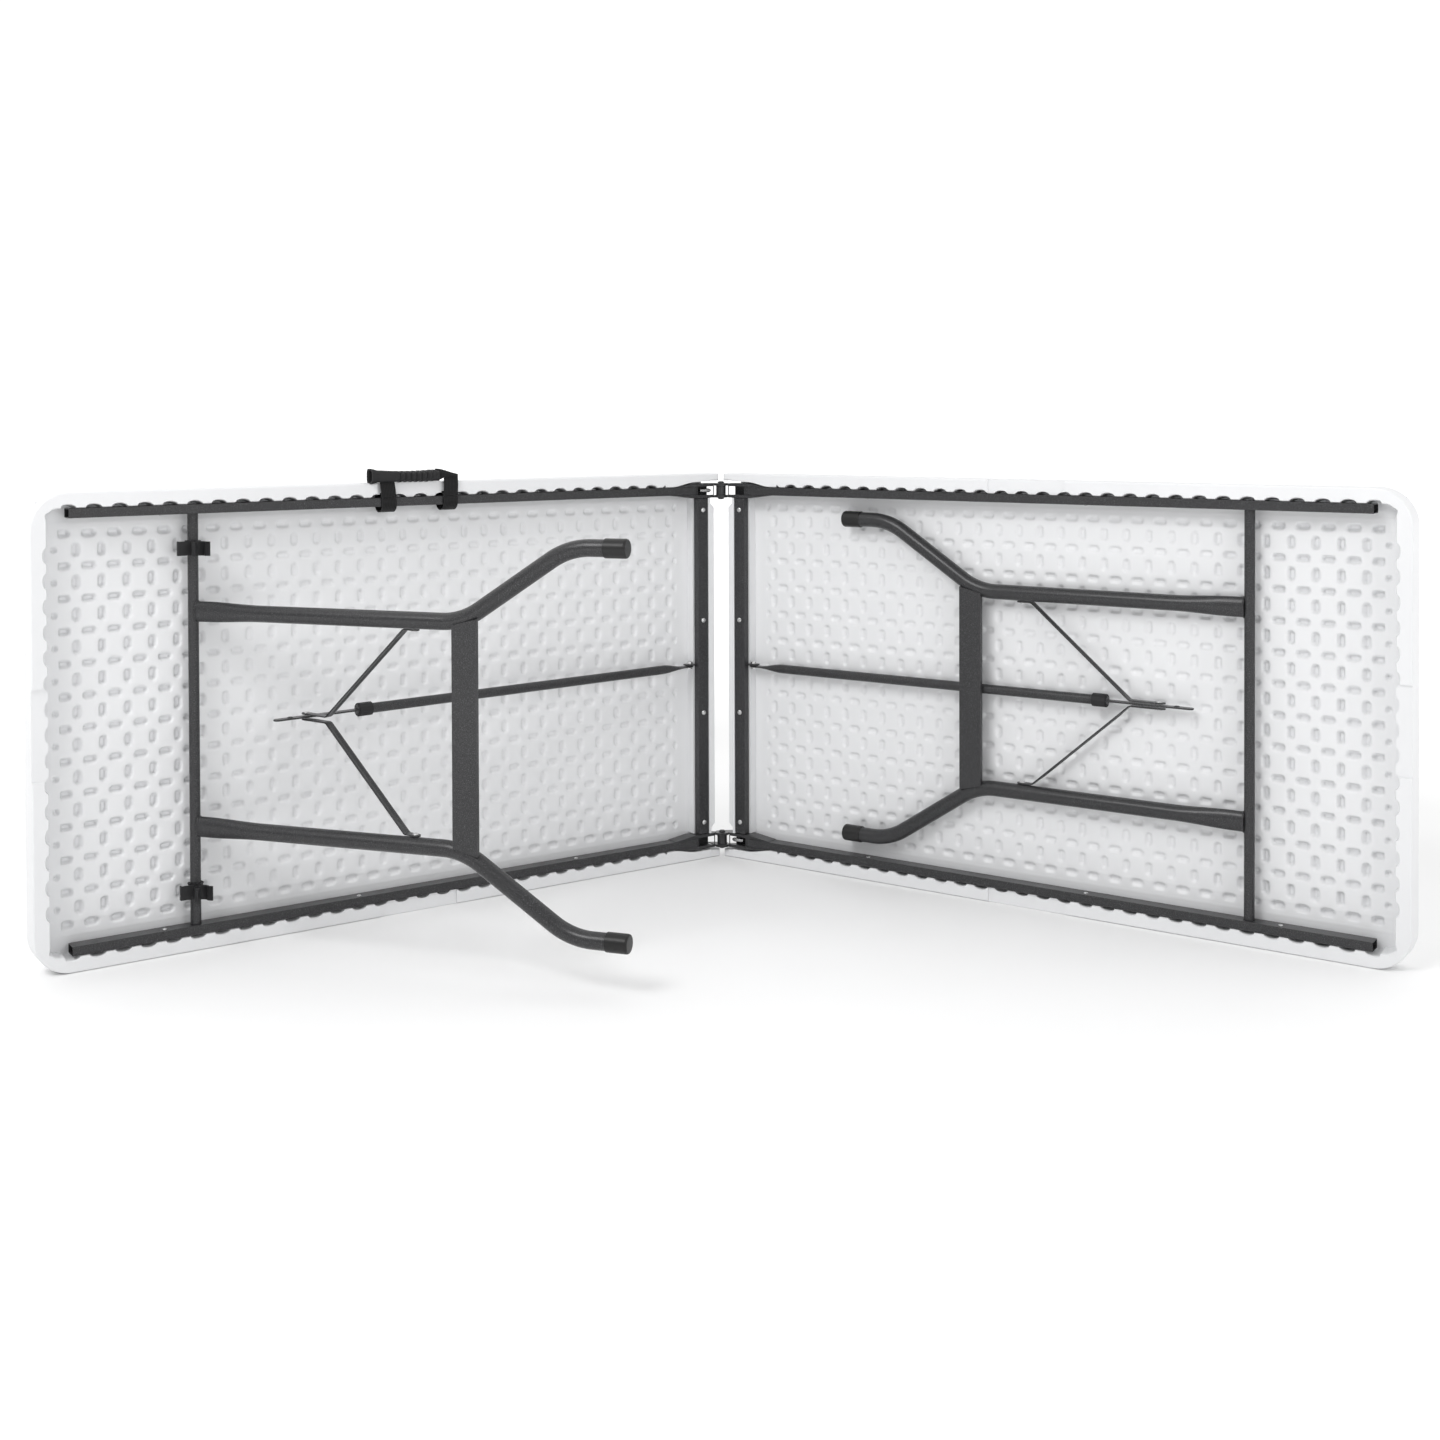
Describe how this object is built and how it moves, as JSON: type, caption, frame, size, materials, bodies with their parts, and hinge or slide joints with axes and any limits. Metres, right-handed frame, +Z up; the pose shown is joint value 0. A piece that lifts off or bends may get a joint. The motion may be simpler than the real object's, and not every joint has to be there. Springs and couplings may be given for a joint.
{
  "type": "folding table",
  "caption": "Centre-folding moulded plastic table with tubular steel folding legs, carry handle and locking braces, shown half open on its long edges.",
  "frame": {"origin": "bottom centre of the bounding box, on the floor between the two halves", "axes": "+Z up; +X along the length, towards the half with the folded legs; +Y away from the side the legs stand out of"},
  "size_m": [2.03, 0.814, 0.722],
  "materials": {
    "plastic_top": "fine moulded texture, off-white",
    "hammertone_steel": "dark grey hammertone powder coat",
    "black_plastic": "matt black moulded",
    "webbing": "black woven strap",
    "zinc": "bright zinc plate"
  },
  "bodies": {
    "left_half": {"left_tabletop": "plastic_top", "left_crossbar": "hammertone_steel", "left_rail_upper": "hammertone_steel", "left_rail_lower": "hammertone_steel", "left_hinge_bracket_upper": "hammertone_steel", "left_hinge_bracket_lower": "hammertone_steel", "left_rod_lug": "hammertone_steel", "left_rod_bolt": "zinc", "hinge_pin_upper": "hammertone_steel", "hinge_bolt_upper": "zinc"},
    "left_leg": {"left_leg_pivot_tube": "hammertone_steel", "left_leg_brace_bar": "hammertone_steel", "left_leg_upper": "hammertone_steel", "left_leg_lower": "hammertone_steel", "left_foot_cap_upper": "black_plastic", "left_foot_cap_lower": "black_plastic", "left_strut_rivet_upper": "zinc", "left_strut_rivet_lower": "zinc"},
    "left_brace": {"left_strut_upper": "hammertone_steel", "left_strut_lower": "hammertone_steel", "left_apex_rivet_upper": "zinc", "left_apex_rivet_lower": "zinc"},
    "left_rod": {"left_centre_rod": "hammertone_steel", "left_rod_tongue": "hammertone_steel"},
    "left_ring": {"left_lock_ring": "black_plastic"},
    "right_half": {"right_tabletop": "plastic_top", "right_crossbar": "hammertone_steel", "right_rail_upper": "hammertone_steel", "right_rail_lower": "hammertone_steel", "right_hinge_bracket_upper": "hammertone_steel", "right_hinge_bracket_lower": "hammertone_steel", "right_rod_lug": "hammertone_steel", "right_rod_bolt": "zinc", "hinge_pin_lower": "hammertone_steel", "hinge_bolt_lower": "zinc"},
    "right_leg": {"right_leg_pivot_tube": "hammertone_steel", "right_leg_brace_bar": "hammertone_steel", "right_leg_upper": "hammertone_steel", "right_leg_lower": "hammertone_steel", "right_foot_cap_upper": "black_plastic", "right_foot_cap_lower": "black_plastic", "right_strut_rivet_upper": "zinc", "right_strut_rivet_lower": "zinc"},
    "right_brace": {"right_strut_upper": "hammertone_steel", "right_strut_lower": "hammertone_steel", "right_apex_rivet_upper": "zinc", "right_apex_rivet_lower": "zinc"},
    "right_rod": {"right_centre_rod": "hammertone_steel", "right_rod_tongue": "hammertone_steel"},
    "right_ring": {"right_lock_ring": "black_plastic"},
    "handle": {"handle_grip": "black_plastic", "handle_strap_outer": "webbing", "handle_strap_inner": "webbing"},
    "clip_upper": {"closing_clip_upper": "black_plastic"},
    "clip_lower": {"closing_clip_lower": "black_plastic"}
  },
  "joints": [
    {"name": "table_fold", "type": "hinge", "parent": "left_half", "child": "right_half", "pos_m": [0, 0.36997, 0.35], "axis": [0, 0, 1], "range_deg": [-60, 69.1]},
    {"name": "left_leg_fold", "type": "hinge", "parent": "left_half", "child": "left_leg", "pos_m": [-0.80056, -0.16366, 0.35], "axis": [0, 0, -1], "range_deg": [-53.5, 39.3]},
    {"name": "left_rod_turn", "type": "hinge", "parent": "left_half", "child": "left_rod", "pos_m": [-0.05839, 0.35162, 0.35], "axis": [0, 0, 1], "range_deg": [-6.36, 4.67]},
    {"name": "left_brace_turn", "type": "hinge", "parent": "left_leg", "child": "left_brace", "pos_m": [-0.44474, -0.28213, 0.35], "axis": [0, 0, -1], "range_deg": [-16.74, 12.3]},
    {"name": "left_ring_slide", "type": "slide", "parent": "left_rod", "child": "left_ring", "axis": [-0.7558, -0.6547, 0], "range_m": [-0.18, 0.07]},
    {"name": "right_leg_fold", "type": "hinge", "parent": "right_half", "child": "right_leg", "pos_m": [0.80056, -0.16366, 0.35], "axis": [0, 0, 1], "range_deg": [0, 92.8]},
    {"name": "right_rod_turn", "type": "hinge", "parent": "right_half", "child": "right_rod", "pos_m": [0.05839, 0.35162, 0.35], "axis": [0, 0, -1], "range_deg": [0, 21.87]},
    {"name": "right_brace_turn", "type": "hinge", "parent": "right_leg", "child": "right_brace", "pos_m": [0.49368, 0.05189, 0.35], "axis": [0, 0, 1], "range_deg": [0, 63.09]},
    {"name": "right_ring_slide", "type": "slide", "parent": "right_rod", "child": "right_ring", "axis": [0.8236, -0.5671, 0], "range_m": [-0.18, 0.026]},
    {"name": "handle_swing", "type": "hinge", "parent": "left_half", "child": "handle", "pos_m": [-0.00822, 0.38191, 0.669], "axis": [0.8236, 0.5671, 0], "range_deg": [0, 165]},
    {"name": "clip_upper_turn", "type": "hinge", "parent": "left_half", "child": "clip_upper", "pos_m": [-0.80056, -0.16366, 0.61], "axis": [0, 0, 1], "range_deg": [-50, 90]},
    {"name": "clip_lower_turn", "type": "hinge", "parent": "left_half", "child": "clip_lower", "pos_m": [-0.80056, -0.16366, 0.09], "axis": [0, 0, 1], "range_deg": [-50, 90]}
  ],
  "couplings": [
    {"joint": "left_rod_turn", "follows": "left_leg_fold", "ratio": 0.1187},
    {"joint": "left_brace_turn", "follows": "left_leg_fold", "ratio": 0.31273},
    {"joint": "right_rod_turn", "follows": "right_leg_fold", "ratio": 0.23552},
    {"joint": "right_brace_turn", "follows": "right_leg_fold", "ratio": 0.67978}
  ]
}
